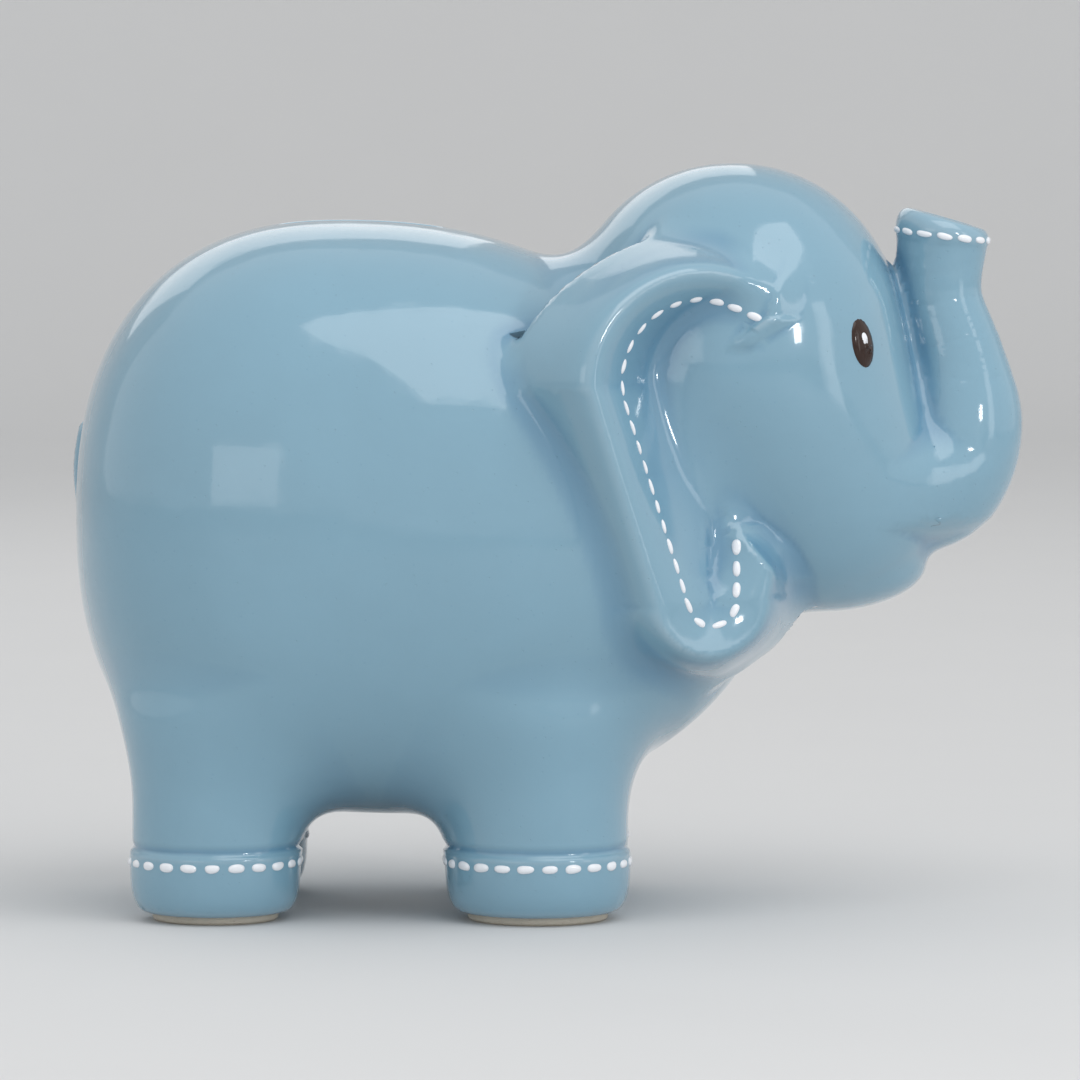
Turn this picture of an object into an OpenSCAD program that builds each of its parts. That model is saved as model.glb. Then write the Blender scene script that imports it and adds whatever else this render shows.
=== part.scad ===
// Coin bank in the form of a standing elephant with its trunk raised.
// It is a hollow, glazed casting with a trunk, two ears and a tail luted on,
// raised enamel stitches and eyes, bare foot rims and a push-in belly stopper.
// The elephant faces +X, its right side is towards -Y, and the floor is z = 0
// under the middle of the model. Sizes are in millimetres.

/* [Torso] */
// Length of the rump and back
torso_l = 146; // [135:1:160]
// Width of the rump and back
torso_w = 146; // [125:1:160]
// Height of the rump and back, from the belly to the top
torso_h = 162; // [145:1:175]
// Clearance between the belly and the floor
belly_h = 26.5; // [24:0.5:30]
// Width across the shoulders
shoulder_w = 124; // [108:1:134]

/* [Head] */
// Length of the head, from the nape to the forehead
head_l = 95; // [85:1:105]
// Width of the head, between the ears
head_w = 104; // [94:1:112]
// Height of the head
head_h = 105; // [95:1:115]
// Height of the middle of the head above the floor
head_z = 151.5; // [147.5:1:156.5]
// Width of the muzzle
muzzle_w = 66; // [58:1:74]

/* [Legs] */
// Radius of a front leg
front_r = 24.5; // [21:0.5:26]
// Radius of a rear leg
rear_r = 22.5; // [20:0.5:25]
// Distance between the left and right legs' middles
track = 70; // [62:1:80]
// Height of the stitched line above the floor
cuff_h = 17; // [14:1:20]

/* [Casting] */
// Thickness of the cast wall
wall = 4.5; // [3.5:0.5:6]
// Height of the bare rim under each foot
rim_h = 2; // [1.5:0.5:3]
// Width of the bare rim
rim_w = 6.5; // [4:0.5:8]
// Distance of the bare rim from the foot's side
rim_inset = 5.5; // [5:0.5:7]
// Size of one facet of the torso, head and legs
body_facet = 9.25; // [8.25, 8.5, 8.75, 9.25, 9.5]

/* [Trunk] */
// Radius of the trunk's raised tip
trunk_tip_r = 12.5; // [10:0.5:14]
// Height of the trunk's tip above the floor
trunk_tip_z = 186.5; // [182:0.5:194]

/* [Ears] */
// Radius of the ear's upper, round part, at the crest of its rim
ear_r = 29; // [25:1:32]
// Radius of the ear's lower lobe, at the crest of its rim
lobe_r = 14; // [11:1:16]
// Distance from the middle plane to the ear's hinder edge
ear_reach = 77; // [70:1:82]
// Depth of the ear's dish
dish_depth = 28; // [24:1:30]

/* [Coin slot] */
// Length of the slot
slot_l = 42; // [34:1:48]
// Width of the slot
slot_w = 5; // [4.5:0.5:7]

/* [Stopper] */
// Diameter of the hole in the belly
hole_d = 24; // [20:1:26]
// Gap around the plug
plug_gap = 0.3; // [0.2:0.05:0.5]
// Height of the plug inside the bank, above the seat
plug_h = 11; // [8:1:14]
// Width of the flange beyond the hole
flange_over = 3; // [2:0.5:4]

/* [Enamel] */
// Length of a stitch
stitch_l = 4.6; // [3:0.2:6]
// Width of a stitch
stitch_w = 2.2; // [1.5:0.1:3]
// Height of a stitch above the glaze
stitch_proud = 0.6; // [0.4:0.1:1]
// Distance between stitches round a foot
foot_pitch = 6.4; // [6:0.5:9]
// Distance between stitches round an ear
ear_pitch = 5.6; // [5:0.2:8]
// Width of the eye
eye_w = 8.6; // [7:0.2:10]
// Height of the eye
eye_h = 13.8; // [11:0.2:16]

/* [Hidden] */
// Middles of the rounded forms that blend into the body
torso_at = [-57, 0, belly_h + torso_h / 2];
shoulder_at = [2, 0, 102.5];
shoulder_l = 122;
shoulder_h = 130;
head_at = [50, 0, head_z];
muzzle_at = head_at + [25, 0, -41];
muzzle_l = 61;
muzzle_h = 57;
jaw_at = head_at + [34, 0, -58];
jaw_size = [37, 40, 19];
front_at = [-3.5, track / 2, 30];
rear_at = [-91, track / 2, 30];
leg_h = 29;

// How far two forms blend into each other
back_blend = 38;
nape_blend = 14;
face_blend = 32;
lip_blend = 5;
leg_blend = 18;

// The belly's flat seat and the stopper
seat_at = [-48, 0, belly_h + 2.2];
seat_r = hole_d / 2 + flange_over + 0.5;
flange_h = 1.6;
// The grip in the stopper's underside: a round recess with a bar across it
grip_r = hole_d / 2 - 3.5;
grip_deep = 5;
bar_w = 3;
bar_h = 2;

// The trunk: x, z and radius along its middle line, from inside the muzzle to the tip
trunk_path = [[80, 112.5, 17], [92, 114, 18], [105.5, 118.5, 19], [111.8, 132.5, 17.7],
    [110.8, 150.5, 13.7], [106.6, 167.5, 11.7], [107.3, trunk_tip_z - 3, trunk_tip_r],
    [108.4, trunk_tip_z + 3, trunk_tip_r]];
trunk_steps = 18;
tip_lean = 16;
tip_round = 2;

// The ear: two middles joined by a tapered outline, on a plane flared to the rear
ear_top = [40.5, 147.5];
ear_low = [43.5, 88];
ear_flare = 0.6;
ear_root = 33;
ear_skirt = 9;
ear_front = 58;
crest_round = 5;
back_slope = 1.7;
end_slope = 3;
lobe_depth = 7;
dish_reach = 24;
// Where the dish opens to the cheek: z and x, and how far and how gently it drops
cheek_line = [[66, 64], [92, 62], [100, 55], [108, 47], [126, 37], [146, 37], [156, 45],
    [164, 57], [186, 66]];
cheek_drop = 30;
cheek_width = 14;

// How deep a luted piece is set into the skin
luting = 0.4;
stitch_inset = 7.5;

// The tail lies on the left of the rump: y, z and radius along its middle line
tail_path = [[13, 130.5, 2.2], [17, 119.5, 3.2], [23, 107.5, 3.2], [31, 96.5, 4.6], [35, 92.5, 3]];
tail_steps = 10;

eye_at = [84.3, 156.5];
eye_tilt = 14;
eye_proud = 1.1;
glint_share = 0.3;

glaze = [0.50, 0.65, 0.745];
enamel = [0.93, 0.94, 0.96];
bisque = [0.86, 0.84, 0.78];
pupil = [0.17, 0.11, 0.08];
rubber = [0.90, 0.90, 0.88];

// ---- Forms: each gives about the distance from its surface, negative inside ----

// An ellipsoid, more boxy as its exponent e grows past 2
function form(p, at, size, e = 2) =
    let (q = [for (a = [0:2]) abs(p[a] - at[a]) / size[a] * 2 + 1e-4])
    let (k = pow(pow(q.x, e) + pow(q.y, e) + pow(q.z, e), 1 / e))
    let (g = norm([for (a = [0:2]) pow(q[a], e - 1) / size[a] * 2]))
    (k - 1) * pow(k, e - 1) / g;

// A round, upright post with rounded ends
function post(p, at, r, h, e = 7) =
    let (q = [norm([p.x - at.x, p.y - at.y]) / r + 1e-4, abs(p.z - at.z) / h + 1e-4])
    let (k = pow(pow(q.x, e) + pow(q.y, e), 1 / e))
    let (g = norm([pow(q.x, e - 1) / r, pow(q.y, e - 1) / h]))
    (k - 1) * pow(k, e - 1) / g;

// Two forms joined by a soft fillet
function blend(a, b, k) =
    let (h = max(k - abs(a - b), 0) / k) min(a, b) - h * h * k / 4;

function mirrored(p) = [p.x, abs(p.y), p.z];

// Torso, head and legs together
function body(p) =
    let (m = mirrored(p))
    let (torso = form(p, torso_at, [torso_l, torso_w, torso_h], 2.4))
    let (shoulder = form(p, shoulder_at, [shoulder_l, shoulder_w, shoulder_h]))
    let (head = form(p, head_at, [head_l, head_w, head_h], 2.1))
    let (muzzle = form(p, muzzle_at, [muzzle_l, muzzle_w, muzzle_h], 2.1))
    let (jaw = form(p, jaw_at, jaw_size))
    let (face = blend(blend(head, muzzle, face_blend), jaw, lip_blend))
    let (trunkless = blend(blend(torso, shoulder, back_blend), face, nape_blend))
    let (front = post(m, front_at, front_r, leg_h))
    let (rear = post(m, rear_at, rear_r, leg_h))
    blend(blend(trunkless, front, leg_blend), rear, leg_blend);

// A smooth curve through a list of points, at t from 0 to 1
function curve(list, t) =
    let (n = len(list) - 1, i = max(0, min(n - 1, floor(t * n))), u = t * n - i)
    let (a = list[max(0, i - 1)], b = list[i], c = list[i + 1], d = list[min(n, i + 2)])
    b + (u * (c - a) + u * u * (2 * a - 5 * b + 4 * c - d)
        + u * u * u * (3 * b - a - 3 * c + d)) / 2;

// How far outside the ear's crest line a point of the side view lies
function beyond_crest(x, z) =
    let (a = ear_top, b = ear_low, q = [x, z])
    let (t = max(0, min(1, (q - a) * (b - a) / ((b - a) * (b - a)))))
    norm(q - a - t * (b - a)) - ear_r - t * (lobe_r - ear_r);

// A soft step from 0 to 1
function step(t) = 0.5 - 0.5 * cos(180 * max(0, min(1, t)));

function ear_crest(x) = ear_reach - ear_flare * (x - ear_top.x + ear_r);

// How steeply the ear's outside falls away: more at its top and bottom than behind
function flank(x, z) =
    let (middle = z > ear_low.y ? ear_top : ear_low)
    let (rise = max(z - ear_top.y, ear_low.y - z, 0) / norm([x, z] - middle))
    back_slope + end_slope * rise * rise;

// The ear's outer surface: a rim with a dish inside that opens forwards to the cheek
function ear_y(x, z) =
    let (u = beyond_crest(x, z))
    let (depth = lookup(z, [[ear_low.y, lobe_depth], [ear_low.y + 34, dish_depth]]))
    let (dish = depth * step(-u / dish_reach))
    let (open = cheek_drop * step((x - lookup(z, cheek_line)) / cheek_width))
    let (fall = flank(x, z) * (sqrt(u * u + crest_round * crest_round) - crest_round))
    ear_crest(x) - (u > 0 ? fall : dish) - open;

// The body's skin under the ear, or the ear's root where there is no body under it
function ear_skin(x, z) =
    max(reach(function(p) body(p), [x, ear_reach, z], [0, -1, 0], 1).y,
        ear_crest(x) - ear_root);

// ---- Meshing: a net of quads is stretched over the surface where f is zero ----

// The eight corners of a grid cell and its twelve edges
corners = [for (i = [0, 1], j = [0, 1], k = [0, 1]) [i, j, k]];
edges = [for (a = [0:7], b = [a + 1:1:7]) if (norm(corners[a] - corners[b]) == 1) [a, b]];

// For each flag, how many flags before it are set
function counted(flags) =
    [for (i = 0, n = 0; i < len(flags); n = n + flags[i], i = i + 1) n];

function crossings(c) =
    [for (e = edges) let (a = c[e[0]], b = c[e[1]]) if ((a < 0) != (b < 0))
        corners[e[0]] + (corners[e[1]] - corners[e[0]]) * a / (a - b)];

function mean(list) = [for (i = list) 1] * list / len(list);

module net(v, lo, step) {
    n = [len(v) - 1, len(v[0]) - 1, len(v[0][0]) - 1];
    cells = [for (i = [0:n.x - 1], j = [0:n.y - 1], k = [0:n.z - 1]) [i, j, k]];
    values = [for (o = cells) [for (c = corners) v[o.x + c.x][o.y + c.y][o.z + c.z]]];
    flags = [for (c = values) min(c) < 0 && max(c) >= 0 ? 1 : 0];
    first = counted(flags);
    points = [for (i = [0:len(cells) - 1]) if (flags[i] == 1)
        lo + step * (cells[i] + mean(crossings(values[i])))];
    function at(i, j, k) = first[(i * n.y + j) * n.z + k];
    function quad(inside, a, b, c, d) = inside ? [d, c, b, a] : [a, b, c, d];
    quads = [for (i = [1:n.x - 1], j = [1:n.y - 1], k = [1:n.z - 1])
        let (inside = v[i][j][k] < 0)
        each [
            if (inside != (v[i + 1][j][k] < 0))
                quad(inside, at(i, j - 1, k - 1), at(i, j, k - 1), at(i, j, k), at(i, j - 1, k)),
            if (inside != (v[i][j + 1][k] < 0))
                quad(inside, at(i - 1, j, k - 1), at(i - 1, j, k), at(i, j, k), at(i, j, k - 1)),
            if (inside != (v[i][j][k + 1] < 0))
                quad(inside, at(i - 1, j - 1, k), at(i, j - 1, k), at(i, j, k), at(i - 1, j, k))
        ]];
    polyhedron(points, [for (q = quads) each [[q[0], q[1], q[2]], [q[0], q[2], q[3]]]]);
}

function sampled(f, lo, hi, step) =
    [for (x = [lo.x:step:hi.x]) [for (y = [lo.y:step:hi.y]) [for (z = [lo.z:step:hi.z])
        f([x, y, z])]]];

function shifted(v, d) = [for (plane = v) [for (row = plane) [for (a = row) a + d]]];

// Values on the side y >= 0 repeated on the other side
function both_sides(half) =
    [for (plane = half) concat([for (j = [len(plane) - 1:-1:1]) plane[j]], plane)];

// ---- Placing things on a surface ----

// Steps towards the surface of f from p, outwards from inside it or inwards from outside
function reach(f, p, dir, sign, t = 0, n = 16) =
    n == 0 ? p + t * dir : reach(f, p, dir, sign, t + sign * f(p + t * dir), n - 1);

function unit(v) = v / norm(v);

function normal(f, p, h = 0.5) = unit([f(p + [h, 0, 0]) - f(p - [h, 0, 0]),
    f(p + [0, h, 0]) - f(p - [0, h, 0]), f(p + [0, 0, h]) - f(p - [0, 0, h])]);

// Sets its children on the surface at p, with +Z outwards and +X along a direction
module on_surface(f, p, along) {
    z = normal(f, p);
    y = unit(cross(z, along));
    x = cross(y, z);
    multmatrix([[x.x, y.x, z.x, p.x], [x.y, y.y, z.y, p.y], [x.z, y.z, z.z, p.z]])
        children();
}

// The point a distance s along a line of points
function along_line(line, s, i = 0) =
    let (step = norm(line[i + 1] - line[i]))
    s <= step || i + 2 >= len(line) ? line[i] + (line[i + 1] - line[i]) * s / step
        : along_line(line, s - step, i + 1);

function line_length(line, i = 0) =
    i + 1 >= len(line) ? 0 : norm(line[i + 1] - line[i]) + line_length(line, i + 1);

// ---- Sub-parts ----

body_lo = [torso_at.x - torso_l / 2 - 20, 0, -18.5];
body_hi = [120, torso_w / 2 + 24.5, head_z + head_h / 2 + 21];

module body_shell() {
    half = sampled(function(p) body(p), body_lo, body_hi, body_facet);
    v = both_sides(half);
    lo = [body_lo.x, -body_facet * (len(half[0]) - 1), body_lo.z];
    color(glaze) difference() {
        net(v, lo, body_facet);
        net(shifted(v, wall), lo, body_facet);
        translate([body_lo.x, -body_hi.y, body_lo.z - 5])
            cube([body_hi.x - body_lo.x, 2 * body_hi.y, rim_h + 5 - body_lo.z]);
        coin_slot();
        translate([seat_at.x, 0, 0]) cylinder(r = seat_r, h = seat_at.z, $fn = 64);
        translate([seat_at.x, 0, 0]) cylinder(d = hole_d, h = seat_at.z + 20, $fn = 64);
    }
}

module coin_slot() {
    end = (slot_l - slot_w) / 2;
    translate([torso_at.x + 5, 0, belly_h + torso_h - 25]) {
        translate([-end, -slot_w / 2, 0]) cube([2 * end, slot_w, 50]);
        for (s = [-1, 1]) translate([s * end, 0, 0]) cylinder(d = slot_w, h = 50, $fn = 32);
    }
}

// The torso, head and legs without their hollow, which the luted pieces are cut to
module body_solid() {
    half = sampled(function(p) body(p) + luting, body_lo, body_hi, body_facet);
    net(both_sides(half), [body_lo.x, -body_facet * (len(half[0]) - 1), body_lo.z], body_facet);
}

module trunk_disc(t) {
    q = curve(trunk_path, t);
    ahead = curve(trunk_path, min(1, t + 0.01)) - curve(trunk_path, t - 0.01);
    r = t < 1 ? q[2] : q[2] - tip_round;
    translate([q.x, 0, q.y]) rotate([0, atan2(ahead.x, ahead.y), 0])
        cylinder(r = r, h = 0.1, $fn = 32);
}

module trunk() {
    color(glaze) difference() {
        for (i = [1:trunk_steps]) hull() {
            trunk_disc((i - 1) / trunk_steps);
            trunk_disc(i / trunk_steps);
        }
        body_solid();
    }
}

// The ear is a grid of rings round its middle, from the skin up to its outer surface
module ear(side) {
    rings = 9;
    spokes = 44;
    least = 1.2;
    middle = (ear_top + ear_low) / 2;
    function past(x, z) = max(beyond_crest(x, z) - ear_skirt, x - ear_front);
    function edge(dir, r = 8, n = 14) =
        n == 0 ? r : edge(dir, r - past(middle.x + r * dir.x, middle.y + r * dir.y), n - 1);
    outline = [for (i = [0:spokes - 1]) let (a = 360 * i / spokes)
        [cos(a), sin(a)] * edge([cos(a), sin(a)])];
    plan = concat([middle], [for (k = [1:rings], i = [0:spokes - 1])
        middle + outline[i] * k / rings]);
    under = [for (q = plan) ear_skin(q.x, q.y) - luting];
    over = [for (i = [0:len(plan) - 1])
        max(ear_y(plan[i].x, plan[i].y), under[i] + luting + least)];
    count = len(plan);
    points = concat([for (i = [0:count - 1]) [plan[i].x, over[i], plan[i].y]],
        [for (i = [0:count - 1]) [plan[i].x, under[i], plan[i].y]]);
    function at(k, i) = k == 0 ? 0 : 1 + (k - 1) * spokes + i % spokes;
    top = [for (k = [0:rings - 1], i = [0:spokes - 1]) each
        k == 0 ? [[0, at(1, i), at(1, i + 1)]]
        : [[at(k, i), at(k + 1, i), at(k + 1, i + 1)],
            [at(k, i), at(k + 1, i + 1), at(k, i + 1)]]];
    bottom = [for (f = top) [count + f[0], count + f[2], count + f[1]]];
    sides = [for (i = [0:spokes - 1]) let (a = at(rings, i), b = at(rings, i + 1)) each
        [[a, count + a, count + b], [a, count + b, b]]];
    color(glaze) mirror([0, (1 - side) / 2, 0]) polyhedron(points, concat(top, bottom, sides));
}

module tail_ball(t) {
    q = curve(tail_path, t);
    p = reach(function(p) body(p), [-150, q.x, q.y], [1, 0, 0], 1);
    translate(p) sphere(q[2], $fn = 16);
}

module tail() {
    color(glaze) difference() {
        for (i = [1:tail_steps]) hull() {
            tail_ball((i - 1) / tail_steps);
            tail_ball(i / tail_steps);
        }
        body_solid();
    }
}

module foot_rim(at, r, side) {
    rim_r = r - rim_inset;
    color(bisque) translate([at.x, side * at.y, 0]) difference() {
        cylinder(r = rim_r, h = rim_h, $fn = 64);
        translate([0, 0, -1]) cylinder(r = rim_r - rim_w, h = rim_h + 2, $fn = 64);
    }
}

module stitch() {
    sunk = 0.8;
    end = (stitch_l - stitch_w) / 2;
    outline = [for (s = [1, -1], a = [-90:45:90])
        s * [end + stitch_w / 2 * cos(a), stitch_w / 2 * sin(a)]];
    translate([0, 0, -sunk]) linear_extrude(sunk + stitch_proud) polygon(outline);
}

module foot_stitches(at, r, side) {
    count = round(2 * PI * r / foot_pitch);
    middle = [at.x, side * at.y, cuff_h];
    skin = function(p) body(p);
    color(enamel) for (i = [0:count - 1]) {
        a = 360 * (i + 0.5) / count;
        p = reach(skin, middle, [cos(a), sin(a), 0], -1);
        on_surface(skin, p, [-sin(a), cos(a), 0]) stitch();
    }
}

// The line of stitches round an ear, in the side view
function ear_line() =
    let (top_r = ear_r - stitch_inset, low_r = lobe_r - stitch_inset)
    concat([for (a = [42:5:197]) ear_top + top_r * [cos(a), sin(a)]],
        [for (a = [197:12:353]) ear_low + low_r * [cos(a), sin(a)]],
        [ear_low + [low_r, 16]]);

module ear_stitches(side) {
    line = ear_line();
    count = floor(line_length(line) / ear_pitch);
    surface = function(p) p.y - ear_y(p.x, p.z);
    color(enamel) mirror([0, (1 - side) / 2, 0]) for (i = [0:count]) {
        q = along_line(line, i * ear_pitch);
        ahead = along_line(line, i * ear_pitch + 0.5);
        p = [q.x, ear_y(q.x, q.y), q.y];
        on_surface(surface, p, unit([ahead.x - q.x, 0, ahead.y - q.y])) stitch();
    }
}

module trunk_stitches() {
    count = round(2 * PI * trunk_tip_r / ear_pitch);
    up = [sin(tip_lean), 0, cos(tip_lean)];
    across = [cos(tip_lean), 0, -sin(tip_lean)];
    q = curve(trunk_path, 0.87);
    color(enamel) for (i = [0:count - 1]) {
        a = 360 * (i + 0.5) / count;
        dir = cos(a) * across + sin(a) * [0, 1, 0];
        on_surface(function(p) (p - [q.x, 0, q.y]) * dir, [q.x, 0, q.y] + q[2] * dir,
            cross(up, dir)) stitch();
    }
}

function eye_point(side) =
    reach(function(p) body(p), [eye_at.x, side * head_w, eye_at.y], [0, -side, 0], 1);

function eye_up(side) = [-sin(eye_tilt), 0, cos(eye_tilt)];

module eye(side) {
    p = eye_point(side);
    color(pupil) on_surface(function(p) body(p), p, eye_up(side))
        scale([eye_h / 2, eye_w / 2, eye_proud]) sphere(1, $fn = 48);
}

module eye_glint(side) {
    p = eye_point(side);
    share = glint_share;
    color(enamel) on_surface(function(p) body(p), p, eye_up(side))
        translate([eye_h * 0.06, 0, eye_proud * 0.8])
            scale([eye_h / 2 * share, eye_w / 2 * share, 0.5]) sphere(1, $fn = 32);
}

module stopper() {
    neck = hole_d / 2 - plug_gap;
    rim = seat_r - 0.3;
    top = flange_h + plug_h;
    outline = [[0, 0], [rim - 0.7, 0], [rim, 0.8], [rim, flange_h], [neck, flange_h],
        [neck - 0.6, top - 1.2], [neck - 1.8, top], [0, top]];
    color(rubber) translate([seat_at.x, 0, seat_at.z - flange_h]) {
        difference() {
            rotate_extrude($fn = 64) polygon(outline);
            translate([0, 0, -1]) cylinder(r = grip_r, h = grip_deep + 1, $fn = 64);
        }
        translate([-grip_r - 0.5, -bar_w / 2, 0]) cube([2 * grip_r + 1, bar_w, bar_h]);
    }
}

body_shell();
trunk();
ear(-1);  // ear_right
ear(1);  // ear_left
tail();
foot_rim(front_at, front_r, -1);  // foot_rim_front_right
foot_rim(front_at, front_r, 1);  // foot_rim_front_left
foot_rim(rear_at, rear_r, -1);  // foot_rim_rear_right
foot_rim(rear_at, rear_r, 1);  // foot_rim_rear_left
foot_stitches(front_at, front_r, -1);  // stitches_foot_front_right
foot_stitches(front_at, front_r, 1);  // stitches_foot_front_left
foot_stitches(rear_at, rear_r, -1);  // stitches_foot_rear_right
foot_stitches(rear_at, rear_r, 1);  // stitches_foot_rear_left
ear_stitches(-1);  // stitches_ear_right
ear_stitches(1);  // stitches_ear_left
trunk_stitches();  // stitches_trunk
eye(-1);  // eye_right
eye(1);  // eye_left
eye_glint(-1);  // eye_glint_right
eye_glint(1);  // eye_glint_left
stopper();
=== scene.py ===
import math

import bmesh
import bpy
import numpy as np
from bpy.props import FloatProperty, FloatVectorProperty, PointerProperty
from mathutils import Matrix, Vector


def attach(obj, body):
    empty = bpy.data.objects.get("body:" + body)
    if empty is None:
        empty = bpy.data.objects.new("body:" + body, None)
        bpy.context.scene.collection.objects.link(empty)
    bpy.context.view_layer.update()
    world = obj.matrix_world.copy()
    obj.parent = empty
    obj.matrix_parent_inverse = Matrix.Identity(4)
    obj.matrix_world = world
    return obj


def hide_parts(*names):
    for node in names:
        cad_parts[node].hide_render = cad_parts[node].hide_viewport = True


bl_info = {
    "name": "Elephant Coin Bank",
    "version": (1, 0, 0),
    "blender": (4, 5, 0),
    "location": "View3D > Sidebar > Coin Bank",
    "description": "Builds a glazed ceramic elephant bank around its packed frame",
    "category": "Add Mesh",
}

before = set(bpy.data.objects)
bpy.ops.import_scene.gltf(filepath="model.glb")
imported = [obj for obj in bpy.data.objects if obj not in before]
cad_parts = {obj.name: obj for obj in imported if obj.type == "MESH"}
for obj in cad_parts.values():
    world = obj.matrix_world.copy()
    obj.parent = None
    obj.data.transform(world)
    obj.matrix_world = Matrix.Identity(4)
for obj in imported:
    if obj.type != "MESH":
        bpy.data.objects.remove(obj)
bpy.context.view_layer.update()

FEET = ("front_right", "front_left", "rear_right", "rear_left")
SIDES = {"right": -1, "left": 1}


# ---- Settings that a user would change ----

def length(name, text, size):
    return FloatProperty(name=name, description=text, default=size, unit="LENGTH")


def lengths(name, text, size):
    return FloatVectorProperty(name=name, description=text, default=size, unit="LENGTH")


def colour(name, text, rgb):
    return FloatVectorProperty(name=name, description=text, default=rgb, subtype="COLOR",
                               min=0, max=1)


class BankBody(bpy.types.PropertyGroup):
    torso: lengths("Torso", "Length, width and height of the rump and back", (0.146, 0.146, 0.162))
    torso_at: lengths("Torso middle", "Middle of the rump and back", (-0.057, 0, 0.1075))
    shoulder: lengths("Shoulders", "Length, width and height of the shoulders",
                      (0.122, 0.124, 0.130))
    shoulder_at: lengths("Shoulder middle", "Middle of the shoulders", (0.002, 0, 0.1025))
    head: lengths("Head", "Length, width and height of the head", (0.095, 0.104, 0.105))
    head_at: lengths("Head middle", "Middle of the head", (0.050, 0, 0.1515))
    muzzle: lengths("Muzzle", "Length, width and height of the muzzle", (0.061, 0.066, 0.057))
    muzzle_at: lengths("Muzzle middle", "Middle of the muzzle", (0.075, 0, 0.1105))
    jaw: lengths("Lower lip", "Length, width and height of the lower lip", (0.037, 0.040, 0.019))
    jaw_at: lengths("Lip middle", "Middle of the lower lip", (0.084, 0, 0.0935))
    front_leg: lengths("Front leg", "Middle of the left front leg", (-0.0035, 0.035, 0.030))
    rear_leg: lengths("Rear leg", "Middle of the left rear leg", (-0.091, 0.035, 0.030))
    front_r: length("Front radius", "Radius of a front leg", 0.0245)
    rear_r: length("Rear radius", "Radius of a rear leg", 0.0225)
    leg_h: length("Leg half height", "Half the height of a leg's own form", 0.029)
    wall: length("Wall", "Thickness of the cast wall", 0.0045)
    cuff_h: length("Cuff height", "Height of the stitched line above the floor", 0.017)


class BankDetails(bpy.types.PropertyGroup):
    ear_r: length("Ear radius", "Radius of the upper ear at its rim's crest", 0.029)
    lobe_r: length("Lobe radius", "Radius of the ear's lower lobe at its rim's crest", 0.014)
    ear_reach: length("Ear reach", "Distance from the middle plane to the ear's hinder rim", 0.077)
    dish_depth: length("Dish depth", "Depth of the ear's dish", 0.028)
    stitch_l: length("Stitch length", "Length of a raised stitch", 0.0046)
    stitch_w: length("Stitch width", "Width of a raised stitch", 0.0022)
    eye_w: length("Eye width", "Width of the eye on the skin", 0.0086)
    eye_h: length("Eye height", "Height of the eye on the skin", 0.0138)
    slot_l: length("Slot length", "Length of the coin slot", 0.042)
    slot_w: length("Slot width", "Width of the coin slot", 0.005)
    hole_d: length("Hole", "Diameter of the hole in the belly", 0.024)


class BankFinish(bpy.types.PropertyGroup):
    glaze: colour("Glaze", "Colour of the glaze on the broad surfaces", (0.200, 0.362, 0.465))
    # This dark colour also serves as painted shade in the deep dish of each ear.
    glaze_pool_and_shade: colour("Pooled glaze", "Colour where the glaze runs thick in a crease",
                       (0.115, 0.262, 0.392))
    glaze_thin: colour("Thin glaze", "Colour where the glaze breaks thin over an edge",
                       (0.40, 0.50, 0.56))
    enamel: colour("Stitch enamel", "Colour of the raised white stitches", (0.84, 0.86, 0.90))
    pupil: colour("Eye enamel", "Colour of the eye", (0.026, 0.011, 0.007))
    clay: colour("Bare clay", "Colour of the unglazed foot rims", (0.62, 0.57, 0.48))
    rubber: colour("Stopper rubber", "Colour of the belly stopper", (0.62, 0.61, 0.57))


# ---- Forms: each gives about the distance from its surface, negative inside ----

def form(p, middle, size, e=2.0):
    """An ellipsoid, more boxy as its exponent grows past 2."""
    q = np.abs(p - np.array(middle)) / np.array(size) * 2 + 1e-4
    k = (q ** e).sum(axis=1) ** (1 / e)
    g = np.linalg.norm(q ** (e - 1) / np.array(size) * 2, axis=1)
    return (k - 1) * k ** (e - 1) / g


def post(p, middle, r, h, e=7.0):
    """A round, upright post with rounded ends."""
    q = np.stack([np.hypot(p[:, 0] - middle[0], p[:, 1] - middle[1]) / r,
                  np.abs(p[:, 2] - middle[2]) / h], axis=1) + 1e-4
    k = (q ** e).sum(axis=1) ** (1 / e)
    g = np.linalg.norm(q ** (e - 1) / np.array([r, h]), axis=1)
    return (k - 1) * k ** (e - 1) / g


def blend(a, b, k):
    """The nearer of two forms, with a soft fillet of reach k where they meet."""
    h = np.maximum(k - np.abs(a - b), 0) / k
    return np.minimum(a, b) - h * h * k / 4


def carve(a, b, k):
    """What two forms share, with a rounded edge of reach k."""
    return -blend(-a, -b, k)


def step(x):
    """A soft step from 0 to 1."""
    x = np.clip(x, 0, 1)
    return x * x * (3 - 2 * x)


def groove(x, width):
    return np.exp(-(x / width) ** 2)


def curve(points, t):
    """A smooth curve through a list of points, at an array of t from 0 to 1."""
    points = np.array(points)
    n = len(points) - 1
    i = np.clip(np.floor(t * n).astype(int), 0, n - 1)
    u = (t * n - i)[:, None]
    a, b = points[np.maximum(i - 1, 0)], points[i]
    c, d = points[i + 1], points[np.minimum(i + 2, n)]
    return b + (u * (c - a) + u ** 2 * (2 * a - 5 * b + 4 * c - d)
                + u ** 3 * (3 * b - a - 3 * c + d)) / 2


FAR = 0.05


def within(p, near, f):
    """The field f for the points near it, and a large distance for the rest."""
    d = np.full(len(p), FAR)
    if near.any():
        d[near] = np.minimum(f(p[near]), FAR)
    return d


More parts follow.
